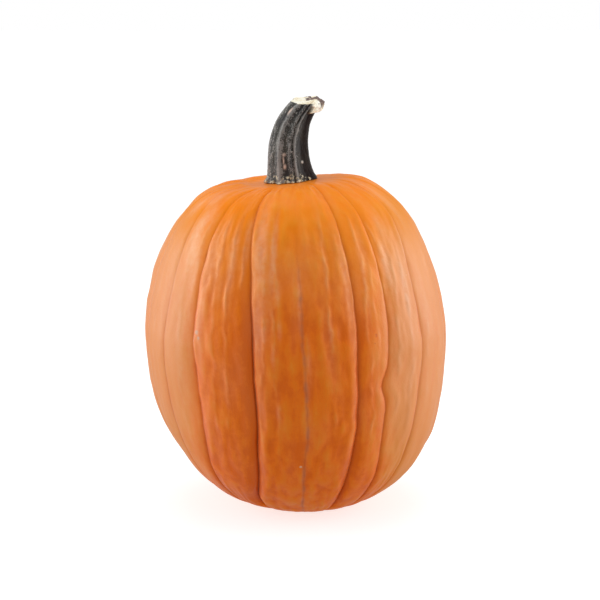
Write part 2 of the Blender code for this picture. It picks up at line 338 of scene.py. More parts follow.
def fruit_columns(azimuths):
    """Each column's lobe, how far across the lobe it lies, 0 to 1, and its azimuths."""
    lobe = np.repeat(np.arange(len(FURROWS)), LOBE_COLUMNS)
    step = np.concatenate([np.arange(columns) / columns for columns in LOBE_COLUMNS])
    phase = step - GATHER * np.sin(math.tau * step)
    return lobe, phase, azimuths[:, lobe] + phase * (azimuths[:, lobe + 1] - azimuths[:, lobe])


def crease_darkness(height, side):
    """How dark the painted shade in the crease of the furrow beside each column is."""
    levels = (height.min(), 0.0, height.max())
    return np.stack([np.interp(height, levels, row[4][::-1]) for row in FURROWS], axis=1)[:, side]


def rib_relief(phase, lobe, azimuths, radius, height):
    """How far the skin lies inside the smooth form, how dark the painted shade in the creases, the seam and
    the painted shade in the furrows' hollows are, and the waxy bloom and painted sheen on the shoulders."""
    width = radius[:, None] * (azimuths[:, lobe + 1] - azimuths[:, lobe])
    inset, crease_shade, seam, furrow_shade, wax_and_sheen = (np.zeros_like(width) for _ in range(5))
    narrow = NARROWEST_FLANK + (1 - NARROWEST_FLANK) * (radius / FRUIT_RADIUS)[:, None]
    soft = np.interp(height, DEPTH_LEVELS, DEPTH_SHARES)[:, None]
    sides = ((lobe, phase * width), ((lobe + 1) % len(FURROWS), (1 - phase) * width))
    for which, (side, distance) in enumerate(sides):
        groove, drop, flank = (np.array([row[i] for row in FURROWS])[side] * MM for i in (1, 2, 3))
        darkness = crease_darkness(height, side)
        flank = flank * narrow
        depth = groove * (LEAST_CREASE + (1 - LEAST_CREASE) * darkness)
        inset += depth * np.exp(-((distance / CREASE_WIDTH) ** CREASE_CURVE))
        inset += drop * soft * np.exp(-distance / flank)
        for furrow, place, amount, reach, pale in SHOULDERS:
            if place == which:
                slope = (1 - np.clip(distance / (reach * MM * narrow), 0, 1)) ** SHOULDER_CURVE
                inset += (side == furrow) * amount * MM * soft * (slope - np.exp(-distance / flank))
                wax_and_sheen += (side == furrow) * pale * np.exp(-((distance / (SHOULDER_HAZE * reach * MM)) ** 4))
        depth_share = np.where(side == SEAM, SEAM_FURROW_SHADE, 1.0)
        furrow_shade = np.maximum(furrow_shade, depth_share * np.exp(-distance / FURROW_SHADE_WIDTH))
        crease_shade = np.maximum(crease_shade, darkness * np.exp(-((distance / LINE_WIDTH) ** LINE_CURVE)))
        on_seam = np.exp(-((distance / SEAM_WIDTH) ** SEAM_CURVE))
        seam = np.maximum(seam, np.where(side == SEAM, on_seam, 0.0))
    return inset, crease_shade, seam, furrow_shade * np.minimum(1, soft / FURROW_SHADE_SHARE), wax_and_sheen


def cord_relief(azimuth, radius, height):
    """The cords inside the lobes: each wanders, swells and fades along its length, and is steeper on one
    side. Also the haze on them."""
    rise_total = np.zeros_like(azimuth)
    pale_total = np.zeros_like(azimuth)
    turning = FURROWS[TURNING_FURROW][0][2]
    for index, (azimuth_list, top, bottom, rise, half_width) in enumerate(CORDS):
        wander = sum(swing * curve_noise(height, length, index + seed) for length, swing, seed in CORD_WANDER)
        swing = curve_noise(height, CORD_SWELL_LENGTH, index + CORD_SWELL_SEED)
        swell = np.clip(CORD_SWELL[0] + CORD_SWELL[1] * swing, *CORD_SWELL_LIMITS)
        middle = np.radians(through(LEVELS, azimuth_list, height) + wander)[:, None]
        steep_side = 1 if azimuth_list[2] < turning else -1
        apart = radius[:, None] * turn_from(azimuth, middle) * steep_side / (half_width * MM)
        apart = np.where(apart > 0, apart * STEEP_SIDE, apart * GENTLE_SIDE)
        extent = smooth_step((top - height) / CORD_FADE) * smooth_step((height - bottom) / CORD_FADE)
        profile = np.exp(-(apart ** 2)) * (swell * extent)[:, None]
        rise_total += rise * MM * profile
        pale_total += CORD_WAX_AND_SHEEN * profile
    return rise_total, pale_total


def wax_and_sheen_patches(azimuth, radius, height):
    """Soft-edged patches of waxy bloom and painted sheen."""
    total = np.zeros_like(azimuth)
    for centre, place, across, along, strength in WAX_AND_SHEEN_SPOTS:
        sideways = radius[:, None] * turn_from(azimuth, math.radians(centre)) / (across * MM)
        lengthways = (height[:, None] - place * MM) / (along * MM)
        total += strength * np.exp(-((sideways ** 2 + lengthways ** 2) ** HAZE_EDGE))
    return total


def side_hills(azimuth, radius, height):
    """Broad hills and dents of the sides."""
    total = np.zeros_like(azimuth)
    for centre, place, size, rise in SIDE_HILLS:
        sideways = radius[:, None] * turn_from(azimuth, math.radians(centre))
        apart = sideways ** 2 + (height[:, None] - place * MM) ** 2
        total += rise * MM * np.exp(-apart / (size * MM) ** 2)
    return total


def crown_hills(azimuth, radius):
    """Uneven heights of the crown, none of them under the stem."""
    total = np.zeros_like(azimuth)
    x = radius[:, None] * np.sin(azimuth)
    y = -radius[:, None] * np.cos(azimuth)
    for centre, place, size, rise in CROWN_HILLS:
        turn = math.radians(centre)
        apart = np.hypot(x - place * MM * math.sin(turn), y + place * MM * math.cos(turn)) / (size * MM)
        total += rise * MM * np.exp(-(apart ** 2))
    return total * between(radius, STEM_CLEAR)[:, None]


def between(radius, ends):
    """0 up to the first radius, 1 from the second one on."""
    return smooth_step((radius - ends[0]) / (ends[1] - ends[0]))


def blossom_end(edge):
    """Rings that close the dimple under the fruit, with the corky scar of the blossom in its middle."""
    middle = np.array([edge[:, 0].mean(), edge[:, 1].mean(), 0.0])
    rings = []
    for share in np.linspace(1, 0, BLOSSOM_RINGS + 2)[1:-1]:
        ring = middle + (edge - middle) * share
        button = BUTTON_RISE * smooth_step((BUTTON_SHARE - share) / BUTTON_EDGE)
        ring[:, 2] = PIT_DEPTH * (1 - share ** 2) - button
        rings.append(ring)
    return np.stack(rings), middle + np.array([0, 0, PIT_DEPTH - BUTTON_RISE])


def ribbed_noise(azimuth, pattern):
    """Noise that follows the ribs: its spacing across and along them, and an offset."""
    across, length, offset = pattern
    middle_ring = azimuth[RINGS // 2]
    along = np.linspace(0, PROFILE_LENGTH, RINGS)[:, None]
    around = np.stack(np.broadcast_arrays(
        FRUIT_RADIUS * np.sin(middle_ring)[None], -FRUIT_RADIUS * np.cos(middle_ring)[None], along), axis=-1)
    return noise_field(around, 1 / across, (1, 1, across / length), offset)


def seated_form(profile, azimuth, inset):
    """The points of the skin: set in from the plain form, with the tilted seat, the hills and the bend."""
    radius, height, normal_r, normal_z = profile
    r = radius[:, None] - normal_r[:, None] * inset
    x = r * np.sin(azimuth)
    y = -r * np.cos(azimuth)
    z = height[:, None] - normal_z[:, None] * inset
    crown = height[:, None] > 0
    z = z - np.where(crown, SEAT_DROP * (1 - smooth_step((r - SEAT_RADIUS) / SEAT_BLEND)), 0)
    tilt = math.tan(SEAT_TILT) * x * (1 - between(r, (SEAT_RADIUS, TILT_RADIUS)))
    z = z + np.where(crown, tilt + crown_hills(azimuth, radius), 0)
    z = np.maximum(z, -FLAT_DEPTH)
    return np.stack([x + bend(height[:, None]), y, z], axis=-1) + FRUIT_CENTRE


def bend(height):
    """How far right of upright the fruit's middle lies at a height."""
    share = height / BEND_HEIGHT
    return BEND_SLANT * share + BEND_BOW * share * share


def build_fruit():
    profile = fruit_profile(RINGS)
    radius, height = profile[:2]
    azimuths = furrow_azimuths(height)
    lobe, phase, azimuth = fruit_columns(azimuths)
    inset, crease_shade, seam, furrow_shade, wax_and_sheen = rib_relief(phase, lobe, azimuths, radius, height)
    swelling, cord_wax_and_sheen = cord_relief(azimuth, radius, height)
    lumps = np.array(LUMPINESS)[lobe]
    for rise, *pattern in SWELLINGS:
        swelling += lumps * rise * MM * ribbed_noise(azimuth, pattern)
    # Painted light and shade of the relief: paler on swellings, deeper in the furrows' hollows, plus each
    # lobe's own tone
    lobe_tone_and_painted_relief_shading = swelling / CREST_HEIGHT - FURROW_SHADE_DARKNESS * furrow_shade + np.array(LOBE_TONE)[lobe]
    strength, *pattern = HAZE_PATCHES
    wax_and_sheen += cord_wax_and_sheen + wax_and_sheen_patches(azimuth, radius, height)
    wax_and_sheen += strength * np.clip(ribbed_noise(azimuth, pattern) + HAZE_COVER, 0, 1)
    wax_and_sheen *= np.where(height > 0, between(radius, HAZE_CLEAR), 1)[:, None]
    rise, *pattern = BROAD_SWELLING
    swelling += rise * MM * ribbed_noise(azimuth, pattern)
    fade = np.where(height > 0, between(radius, CROWN_FADE), between(radius, BELLY_FADE))[:, None]
    inset = (inset - swelling - side_hills(azimuth, radius, height)) * fade

    points = seated_form(profile, azimuth, inset)
    dimple, pole = blossom_end(points[-1])
    mesh = grid_mesh("fruit_skin", np.concatenate([points, dimple]), points[0].mean(axis=0), pole)
    plain = np.zeros(dimple.shape[:2])
    fields = {"crease_shade": crease_shade * fade, "seam": seam * fade, "lobe_tone_and_painted_relief_shading": lobe_tone_and_painted_relief_shading * fade, "wax_and_sheen": wax_and_sheen}
    for name, values in fields.items():
        add_attribute(mesh, name, np.concatenate([values, plain]), (0, 0))
    return place_piece("fruit_skin", mesh)


# ---------------------------------------------------------------- stem: the woody handle
STEM_OFFSET = -0.0037  # along the tilted seat
STEM_GAP = 0.0003
# The bend as a cubic curve: how far right and up its four handles lie
STEM_PATH = ((0.0, 0.0), (-0.002, 0.0288), (0.0, 0.0508), (0.0195, 0.0673))
CUT_TILT = math.radians(10)
CUT_LEAN = math.radians(6)
TILT_POWER = 1.5
LEAN_POWER = 3
STEM_TOP_RADIUS = 0.0128
STEM_TAPER = 0.0062
STEM_FLARE = 0.0030
STEM_FLARE_LENGTH = 0.08
STEM_LENGTH = 0.072  # along the bend
STEM_COLUMNS = 340
SIDE_RINGS = 150
CUT_RINGS = 26
VALLEY_DEPTH = 0.06
DRIED_POLE = 0.3
# Ridges and grooves of the stem: azimuth in degrees, height as a share of the radius, width in degrees
STEM_RIDGES = (
    (-78, 0.11, 15), (-26, 0.15, 11), (9, 0.115, 7.5), (25.5, 0.115, 5), (84, 0.14, 16),
    (132, 0.11, 14), (178, 0.13, 15), (228, 0.12, 14),
)
STEM_GROOVES = (
    (-47, 0.035, 7), (-6, 0.03, 6), (18.5, 0.018, 2.5), (50, 0.05, 12), (108, 0.04, 8),
    (155, 0.035, 8), (203, 0.04, 9), (254, 0.03, 8),
)
BASE_SWING = (25, 0.16, 35)  # how the ridges at the front right bear left at the foot
SWAY = (0.07, 0.030, 21.0)  # how the ridges sway: radians, spacing in metres and an offset
# Wrinkles of the stem: rise, spacing across and spacing along, in millimetres, and an offset
WRINKLES = ((0.3, 2.4, 16, 1), (0.22, 1.2, 7, 4), (0.16, 1.5, 2.2, 8), (0.1, 0.8, 1, 13))
# Marks on the stem: azimuth in degrees, share of the length, half size across and along in millimetres
TAN_SCARS = ((-39, 0.88, 2.1, 3.6), (-12, 0.305, 1.5, 1.5), (-11, 0.17, 1.2, 2), (-14, 0.235, 0.8, 3),
             (118, 0.52, 1.4, 2.6), (196, 0.36, 1.7, 2.2), (205, 0.78, 1.2, 2.8))
DARK_SLITS = ((-18, 0.235, 0.7, 2.6), (121, 0.515, 0.5, 2), (193, 0.35, 0.6, 1.6))
WHITE_SPECKS = ((48, 0.2, 1.1, 1.1), (12, 0.335, 0.5, 0.6), (-9, 0.86, 0.6, 0.6), (80, 0.25, 0.6, 0.8),
                (150, 0.3, 0.9, 0.9), (236, 0.62, 0.8, 1))
MARK_RADIUS = 1.3  # the stem's usual radius, as a share of its radius at the top
TAN_RISE = 0.0003
SLIT_DEPTH = 0.0009
SPECK_RISE = 0.0004
# Pale lines on the ridges and sides with little bloom, partly painted highlight: azimuth in degrees, strength
# and width in degrees
PALE_LINES = ((25.5, 1.3, 4), (-26, 0.5, 9), (-80, 0.4, 9), (178, 0.5, 8), (132, 0.4, 7), (228, 0.5, 7))
# Painted shade on the stem's shady sides, most on the right: azimuth in degrees, strength and width in
# degrees
SHADY_SIDES = ((64, 1, 28), (150, 0.5, 18), (250, 0.4, 14))
# Bloom on a ridge, partly painted highlight: how far under the plain side it starts and the height over which
# it grows full, as shares of the radius, the wrinkle's rise that adds as much, and how much less there is on
# a shady side
BLOOM_START = 0.06
BLOOM_RANGE = 0.18
BLOOM_WRINKLE = 0.0008
BLOOM_SHADE = 0.9
# The torn flap of flesh at the right of the cut: its left and right edges in degrees, how far the left one
# slants, and its lower edge as a share of the stem's length
FLAP_LEFT = 16
FLAP_RIGHT = 150
FLAP_SLANT = 170
FLAP_LOW = 0.852
FLAP_LIFT = (0.045, math.radians(60), math.radians(50))  # how it rises: how much, from and over which turn
FLAP_RAGGED = (7, 10, 0.012)  # how ragged its left, right and lower edges are
FLAP_SOFT = (0.10, 0.25, 0.022)  # and how softly they begin
FLAP_RISE = 0.0026
BACK_RISE = 0.0014
FLAP_THICKNESS = 0.0042
FLAP_KNOBS = 0.0009
FLAP_ROUNDING = 0.45
ROUNDED_FROM = 0.955
FLAP_WRINKLES = 0.6  # how much the flap hides the wrinkles
# The collar of corky crumbs round the foot: rise in metres, then its middle, its half height and the reach
# of the crumbs' colour as shares of the stem's length
COLLAR_RISE = 0.0024
COLLAR_MIDDLE = 0.018
COLLAR_HALF = 0.028
CRUMB_REACH = 0.060
# Spacing, offset and octaves of the noise on the stem
RAGGED_NOISE = (0.004, 31.0, 2)
KNOB_NOISE = (0.0032, 44.0, 2)
CUT_NOISE = (0.0048, 52.0, 3)
DRIED_NOISE = (0.0042, 63.0, 2)
NOISE_RADIUS = 0.016


def spaced_noise(points, pattern):
    spacing, offset, octaves = pattern
    return noise_field(points, 1 / spacing, offset=offset, octaves=octaves)


def round_bumps(azimuth, bumps):
    """The sum of rounded bumps round the stem."""
    total = np.zeros_like(azimuth)
    for centre, height, width in bumps:
        apart = turn_from(azimuth, math.radians(centre))
        total += height * np.exp(-((apart / math.radians(width)) ** 2))
    return total


def stem_marks(azimuth, share, marks):
    """How far each place is covered by soft-edged marks, 0 to 1."""
    total = np.zeros_like(azimuth)
    for centre, height, across, along in marks:
        turn = turn_from(azimuth, math.radians(centre))
        sideways = turn * STEM_TOP_RADIUS * MARK_RADIUS / (across * MM)
        lengthways = (share - height) * STEM_LENGTH / (along * MM)
        total = np.maximum(total, np.exp(-((sideways ** 2 + lengthways ** 2) ** 1.5)))
    return total


def stem_frame(share):
    """The middle of each section of the stem, its two directions across and the reach of a plain one."""
    t = share[:, None]
    handles = np.array([(x, 0.0, z) for x, z in STEM_PATH])
    centre = ((1 - t) ** 3 * handles[0] + 3 * (1 - t) ** 2 * t * handles[1]
              + 3 * (1 - t) * t * t * handles[2] + t ** 3 * handles[3])
    tilt = CUT_TILT * share ** TILT_POWER
    lean = CUT_LEAN * share ** LEAN_POWER
    nothing = np.zeros_like(share)
    across = np.stack([np.cos(tilt), nothing, -np.sin(tilt)], axis=-1)
    toward = np.stack([nothing, -np.cos(lean), -np.sin(lean)], axis=-1)
    reach = STEM_TOP_RADIUS + STEM_TAPER * (1 - share) + STEM_FLARE * np.exp(-share / STEM_FLARE_LENGTH)
    return centre, across, toward, reach


def flap_cover(azimuth, share, ragged):
    """Where the torn flap lies: from the cut down the right side, its left edge slanting down and back."""
    left_edge = np.radians(FLAP_LEFT + FLAP_SLANT * (1 - share) + FLAP_RAGGED[0] * ragged)
    right_edge = np.radians(FLAP_RIGHT + FLAP_RAGGED[1] * ragged)
    turn = turn_from(azimuth, 0)
    lift, lift_start, lift_width = FLAP_LIFT
    lower_edge = FLAP_LOW + lift * smooth_step((turn - lift_start) / lift_width) + FLAP_RAGGED[2] * ragged
    left_soft, right_soft, lower_soft = FLAP_SOFT
    sides = smooth_step((turn - left_edge) / left_soft) * smooth_step((right_edge - turn) / right_soft)
    return sides * smooth_step((share - lower_edge) / lower_soft)


def stem_sides(sections, turn, height):
    """The points of the stem's sides, and the fields that its material reads, by name."""
    centre, across, toward, reach = sections
    around = [np.sin(turn) * NOISE_RADIUS, -np.cos(turn) * NOISE_RADIUS, height * STEM_LENGTH]
    around = np.stack(around, axis=-1)
    sway, spacing, sway_offset = SWAY
    swung = turn + sway * noise_field(around, 1 / spacing, offset=sway_offset)
    swung += round_bumps(turn, (BASE_SWING,)) * (1 - height)
    ridges = round_bumps(swung, STEM_RIDGES) - round_bumps(swung, STEM_GROOVES)
    wrinkles = np.zeros_like(turn)
    for rise, wide, long, offset in WRINKLES:
        wrinkles += rise * MM * noise_field(around, 1 / (wide * MM), (1, 1, wide / long), offset)
    ragged = spaced_noise(around, RAGGED_NOISE)
    knobs = spaced_noise(around, KNOB_NOISE)
    flap = flap_cover(turn, height, ragged)
    shady = round_bumps(turn, SHADY_SIDES)
    tan = stem_marks(turn, height, TAN_SCARS)
    slit = stem_marks(turn, height, DARK_SLITS)
    speck = stem_marks(turn, height, WHITE_SPECKS)

    collar = np.exp(-(((height - COLLAR_MIDDLE) / COLLAR_HALF) ** 2))
    collar *= np.clip(0.25 + knobs, 0, 1.2) * (1 - 0.9 * shady)
    out = reach[:, None] * (1 - VALLEY_DEPTH + ridges) + wrinkles * (1 - FLAP_WRINKLES * flap)
    rounded = 1 - FLAP_ROUNDING * smooth_step((height - ROUNDED_FROM) / (1 - ROUNDED_FROM))
    out += flap * (FLAP_THICKNESS * rounded + FLAP_KNOBS * knobs) + COLLAR_RISE * collar
    out += TAN_RISE * tan - SLIT_DEPTH * slit + SPECK_RISE * speck
    outward = across[:, None] * np.sin(turn)[..., None] + toward[:, None] * np.cos(turn)[..., None]

    # Grey bloom on ridges and wrinkles, partly painted highlight, less where there is painted shade
    bloom_and_highlight = (ridges + BLOOM_START) / BLOOM_RANGE + wrinkles / BLOOM_WRINKLE - BLOOM_SHADE * shady
    rim = smooth_step((height - 0.995 + 0.004 * ragged) / 0.005)
    fields = {
        "ridge": bloom_and_highlight + round_bumps(swung, PALE_LINES),
        "cream": np.maximum(flap, rim),
        # Fewer pale crumbs on the shady sides, as painted shade
        "collar": np.exp(-((height / CRUMB_REACH) ** 2)) * (0.62 + knobs - 0.6 * shady),
        "tan": tan, "slit": slit, "speck": speck, "shady": shady,
    }
    return centre[:, None] + outward * out[..., None], fields


def stem_cut(sections, side, height):
    """The sides' points with the raised cut's added ring by ring, and how dried the flesh is at each."""
    centre, across, toward, _ = sections
    inward = 1 - (np.arange(1, CUT_RINGS + 1) / (CUT_RINGS + 1)) ** 1.3
    inner = np.broadcast_to(inward[:, None], (CUT_RINGS, STEM_COLUMNS))
    cut = centre[-1] + (side[-1] - centre[-1])[None] * inner[..., None]
    up = np.cross(toward[-1], across[-1])
    up *= math.copysign(1, up[2])
    top = np.concatenate([side, cut])
    local = top - centre[-1]
    rightward = local @ across[-1] / STEM_TOP_RADIUS
    frontward = local @ toward[-1] / STEM_TOP_RADIUS
    near_top = np.concatenate([smooth_step((height - 0.90) / 0.10), np.ones_like(inner)])
    rough = spaced_noise(local, CUT_NOISE)
    inside = np.concatenate([np.zeros_like(height), 1 - inner])
    raised = FLAP_RISE * smooth_step((rightward + 0.6) / 1.3) * (0.95 + 0.22 * rough)
    raised *= 0.55 + 0.45 * smooth_step(inside * 3)
    raised += BACK_RISE * smooth_step((0.6 - frontward) / 1.4)
    dome = 0.0006 * np.minimum(1, inside * 6) + 0.0005 * rough * np.minimum(1, 0.4 + inside * 6)

    crust = spaced_noise(local, DRIED_NOISE) * 1.6 + 0.15
    crust += 0.5 * smooth_step(rightward) - 0.55 * np.maximum(frontward, 0)
    front_edge = 0.55 + 0.5 * smooth_step((rightward - 0.6) / 0.4)
    dried = smooth_step(crust / 0.3) * smooth_step((rightward + 0.25) / 0.3) * near_top
    dried = dried * smooth_step((front_edge - frontward) / 0.4)
    return top + up * (near_top * (raised + dome))[..., None], dried


def on_seat(points):
    """The stem's points moved from its own upright frame to the tilted seat, and the seat's middle."""
    lean = Matrix.Rotation(-SEAT_TILT, 3, "Y")
    seat = FRUIT_CENTRE + (bend(CROWN_HEIGHT), 0, CROWN_HEIGHT - SEAT_DROP)
    seat = seat + np.array(lean @ Vector((STEM_OFFSET, 0, STEM_GAP)))
    return points @ np.array(lean).T + seat, seat


def build_stem():
    share = np.linspace(0, 1, SIDE_RINGS)
    azimuth = np.linspace(0, math.tau, STEM_COLUMNS, endpoint=False)
    sections = stem_frame(share)
    turn, height = np.meshgrid(azimuth, share)
    side, fields = stem_sides(sections, turn, height)
    top, dried = stem_cut(sections, side, height)
    points, seat = on_seat(top)
    mesh = grid_mesh("stem_wood", points, seat, points[-1].mean(axis=0))
    mesh.flip_normals()
    add_attribute(mesh, "dried", dried, (0, DRIED_POLE))
    for name, values in fields.items():
        over_cut = 1.0 if name == "cream" else 0.0
        cut_values = np.full((CUT_RINGS, STEM_COLUMNS), over_cut)
        add_attribute(mesh, name, np.concatenate([values, cut_values]), (0, over_cut))
    return place_piece("stem_wood", mesh)


# ---------------------------------------------------------------- materials
class Nodes:
    """Short calls for building one node tree."""

    def __init__(self, owner, shader):
        owner.use_nodes = True
        self.tree = owner.node_tree
        self.shader = self.tree.nodes[shader]

    def add(self, kind, inputs=None, **settings):
        node = self.tree.nodes.new(kind)
        for key, value in settings.items():
            setattr(node, key, value)
        for key, value in (inputs or {}).items():
            self.put(node.inputs[key], value)
        return node

    def put(self, socket, value):
        if isinstance(value, bpy.types.NodeSocket):
            self.tree.links.new(value, socket)
        else:
            socket.default_value = value

    def shade(self, values):
        """Sets the shader's own sockets, by name."""
        for name, value in values.items():
            self.put(self.shader.inputs[name], value)

    def attribute(self, name):
        return self.add("ShaderNodeAttribute", attribute_name=name).outputs["Fac"]

    def noise(self, place, scale, detail, roughness=0.5):
        inputs = {"Vector": place, "Scale": scale, "Detail": detail, "Roughness": roughness}
        return self.add("ShaderNodeTexNoise", inputs).outputs["Fac"]

    def stretched(self, place, scale):
        return self.add("ShaderNodeMapping", {"Vector": place, "Scale": scale}).outputs[0]

    def math(self, operation, *values, use_clamp=False):
        node = self.add("ShaderNodeMath", dict(enumerate(values)), operation=operation, use_clamp=use_clamp)
        return node.outputs[0]

    def product(self, *values, use_clamp=False):
        return self.math("MULTIPLY", *values, use_clamp=use_clamp)

    def scaled(self, value, factor, start, use_clamp=False):
        """The start plus the factor times the value."""
        return self.math("MULTIPLY_ADD", value, factor, start, use_clamp=use_clamp)

    def uneven(self, pattern, factor, start):
        """The start plus the factor times a noise pattern, which is counted from its middle, 0.5."""
        return self.scaled(self.math("SUBTRACT", pattern, 0.5), factor, start)

    def span(self, value, low, high, to_low=0.0, to_high=1.0, kind="LINEAR"):
        """Where the value lies from low to high, as a number from to_low to to_high."""
        inputs = {"Value": value, "From Min": low, "From Max": high, "To Min": to_low, "To Max": to_high}
        return self.add("ShaderNodeMapRange", inputs, interpolation_type=kind).outputs["Result"]

    def mix(self, factor, first, second):
        return self.add("ShaderNodeMix", {"Factor": factor, 6: first, 7: second}, data_type="RGBA").outputs[2]

    def ramp(self, factor, stops):
        """A colour ramp from (position, linear red, green and blue) stops."""
        node = self.add("ShaderNodeValToRGB", {"Fac": factor})
        elements = node.color_ramp.elements
        while len(elements) < len(stops):
            elements.new(0.5)
        for element, (position, colour) in zip(elements, stops):
            element.position = position
            element.color = (*colour, 1)
        return node.outputs["Color"]

    def spot(self, place, centre, size, ragged):
        """1 inside a small round mark with a ragged edge, 0 outside it."""
        apart = self.add("ShaderNodeVectorMath", {0: place, 1: centre}, operation="DISTANCE").outputs["Value"]
        return self.span(self.uneven(ragged, size * 2.5, apart), size * 1.3, size * 0.5)

    def bump(self, height, distance, strength):
        inputs = {"Height": height, "Distance": distance, "Strength": strength}
        return self.add("ShaderNodeBump", inputs).outputs["Normal"]


def rgb(red, green, blue):
    """A colour given as display values from 0 to 255, as the linear values that a shader takes."""
    def linear(channel):
        channel /= 255
        return channel / 12.92 if channel <= 0.04045 else ((channel + 0.055) / 1.055) ** 2.4
    return (linear(red), linear(green), linear(blue), 1.0)


# Colours of the skin from deep to pale, partly painted light, as stops of a ramp, in the lower part and on
# the crown
RIND_COLOURS = ((0.0, (0.72, 0.112, 0.0005)), (0.25, (0.80, 0.145, 0.0012)), (0.50, (0.80, 0.175, 0.004)),
                (1.0, (0.80, 0.246, 0.026)))
CROWN_COLOURS = ((0.0, (0.86, 0.215, 0.004)), (1.0, (0.83, 0.268, 0.016)))
BLACK = (0.0, 0.0, 0.0, 1.0)
WHITE = (1.0, 1.0, 1.0, 1.0)
# The pale colour of the waxy bloom and of the painted sheen
WAX_AND_SHEEN_COLOUR = (0.94, 0.88, 0.76, 1.0)
CREASE_SHADE_COLOUR = rgb(150, 58, 22)
SEAM_COLOURS = (rgb(150, 80, 48), rgb(215, 136, 104))
BLOSSOM_COLOURS = (rgb(96, 64, 40), rgb(206, 168, 120))
BLOSSOM_SCAR = (FRUIT_CENTRE[0] + bend(-BELLY_DEPTH), FRUIT_CENTRE[1], 0.0)
BLOSSOM_SIZE = 0.0062
WARM_GLOSS = (1.0, 0.93, 0.40, 1.0)
# Where the flanks' painted light, a paler colour, begins and ends, as distances from a plane a little left of
# the middle
PAINTED_FLANK_LIGHT = (0.057, 0.099)
FLANK_SHIFT = 0.005
# Heights over the floor between which each of these changes: the crown's colour, partly painted light from
# above, and its duller gloss, the paler end, the waxy bloom and painted sheen, the seam's cork and the gloss
CROWN_TONE_AND_LIGHT_HEIGHTS = (0.17, 0.285)
DULL_HEIGHTS = (0.232, 0.280)
LOW_HEIGHTS = (0.06, 0.0)
HAZE_HEIGHTS = (0.01, 0.12)
CORK_HEIGHTS = (0.26, 0.21)
GLOSS_HEIGHTS = (0.012, 0.10)
# Marks on the skin: azimuth in degrees, height over the widest ring, size in millimetres, display colour
SKIN_MARKS = (
    (30.3, 15, 1.4, (205, 84, 22)), (29.6, 8, 0.9, (205, 88, 26)), (-38.4, 15, 2, (208, 150, 122)),
    (-37.2, 10, 1.5, (206, 152, 126)), (2.3, -98, 1.1, (220, 166, 128)), (50.6, 59, 0.7, (246, 208, 174)),
    (146, 30, 1.8, (200, 92, 30)), (201, -20, 2.2, (206, 150, 120)), (238, 50, 1.5, (198, 88, 26)),
    (112, -60, 1.4, (204, 92, 28)), (275, 10, 1.8, (208, 154, 126)),
)


def skin_point(azimuth, height):
    """A point on the fruit's plain form, at an azimuth in degrees and a height in millimetres."""
    reach, power_r, power_z = ((CROWN_HEIGHT, *CROWN_POWERS) if height > 0 else (BELLY_DEPTH, *BELLY_POWERS))
    share = abs(height) * MM / reach
    radius = FRUIT_RADIUS * (1 - share ** power_z) ** (1 / power_r)
    turn = math.radians(azimuth)
    return (radius * math.sin(turn), -radius * math.cos(turn), FLAT_DEPTH + height * MM)


def rind_colour(nodes, height, side, patterns):
    """The orange: yellower on the crown, partly painted light from above, and paler on the flanks as painted
    light; deeper low down in the middle of front and back.
    """
    streak, blotch, grain = patterns
    # Yellower on the crown: partly its own tone, partly painted light from above
    crown_tone_and_light = nodes.span(height, *CROWN_TONE_AND_LIGHT_HEIGHTS, kind="SMOOTHSTEP")
    low = nodes.span(height, *LOW_HEIGHTS, to_high=0.15, kind="SMOOTHSTEP")
    # Painted light: paler towards the flanks, and a little paler at the very bottom
    pale = nodes.scaled(nodes.math("MAXIMUM", side, low), 0.75, 0.25)
    mottle = nodes.uneven(streak, 0.9, nodes.uneven(grain, 0.5, nodes.uneven(blotch, 0.8, 0.0)))
    pale = nodes.scaled(mottle, nodes.scaled(side, -0.4, 1.0), pale)
    # Painted light and shade of the relief, less of it on the flanks
    pale = nodes.scaled(nodes.attribute("lobe_tone_and_painted_relief_shading"), nodes.scaled(side, -0.22, 0.40), pale)
    base = nodes.mix(crown_tone_and_light, nodes.ramp(pale, RIND_COLOURS), nodes.ramp(pale, CROWN_COLOURS))
    # The flanks are made up to an eighth darker, which tempers their painted light
    return nodes.mix(nodes.span(side, 0.33, 1.0, to_high=0.125), base, BLACK)


def rind_wax_and_sheen(nodes, height, grain, base):
    """A thin pale haze, waxy bloom and painted sheen, in patches and on what stands proud, and hardly any low
    down.
    """
    wax_and_sheen = nodes.product(nodes.attribute("wax_and_sheen"), nodes.scaled(grain, 1.6, 0.2))
    wax_and_sheen = nodes.product(wax_and_sheen, nodes.span(height, *HAZE_HEIGHTS, to_low=0.1))
    return nodes.mix(wax_and_sheen, base, WAX_AND_SHEEN_COLOUR)


def rind_marks(nodes, place, height, patterns, base):
    """The corky seam, which comes and goes along its length, the painted shade in the creases, the blossom
    scar and the marks.
    """
    _, blotch, grain = patterns
    patches = nodes.noise(nodes.stretched(place, (0.3, 0.3, 1.0)), 75.0, 3.0)
    cork = nodes.span(patches, 0.42, 0.62, to_low=0.12, to_high=0.55)
    cork = nodes.product(nodes.product(nodes.attribute("seam"), cork), nodes.span(height, *CORK_HEIGHTS))
    base = nodes.mix(cork, base, nodes.mix(blotch, *SEAM_COLOURS))
    # Painted shade: a dark red-brown line along the creases
    base = nodes.mix(nodes.attribute("crease_shade"), base, CREASE_SHADE_COLOUR)
    scar = nodes.spot(place, BLOSSOM_SCAR, BLOSSOM_SIZE, blotch)
    base = nodes.mix(scar, base, nodes.mix(grain, *BLOSSOM_COLOURS))
    for azimuth, level, size, colour in SKIN_MARKS:
        base = nodes.mix(nodes.spot(place, skin_point(azimuth, level), size * MM, grain), base, rgb(*colour))
    return base


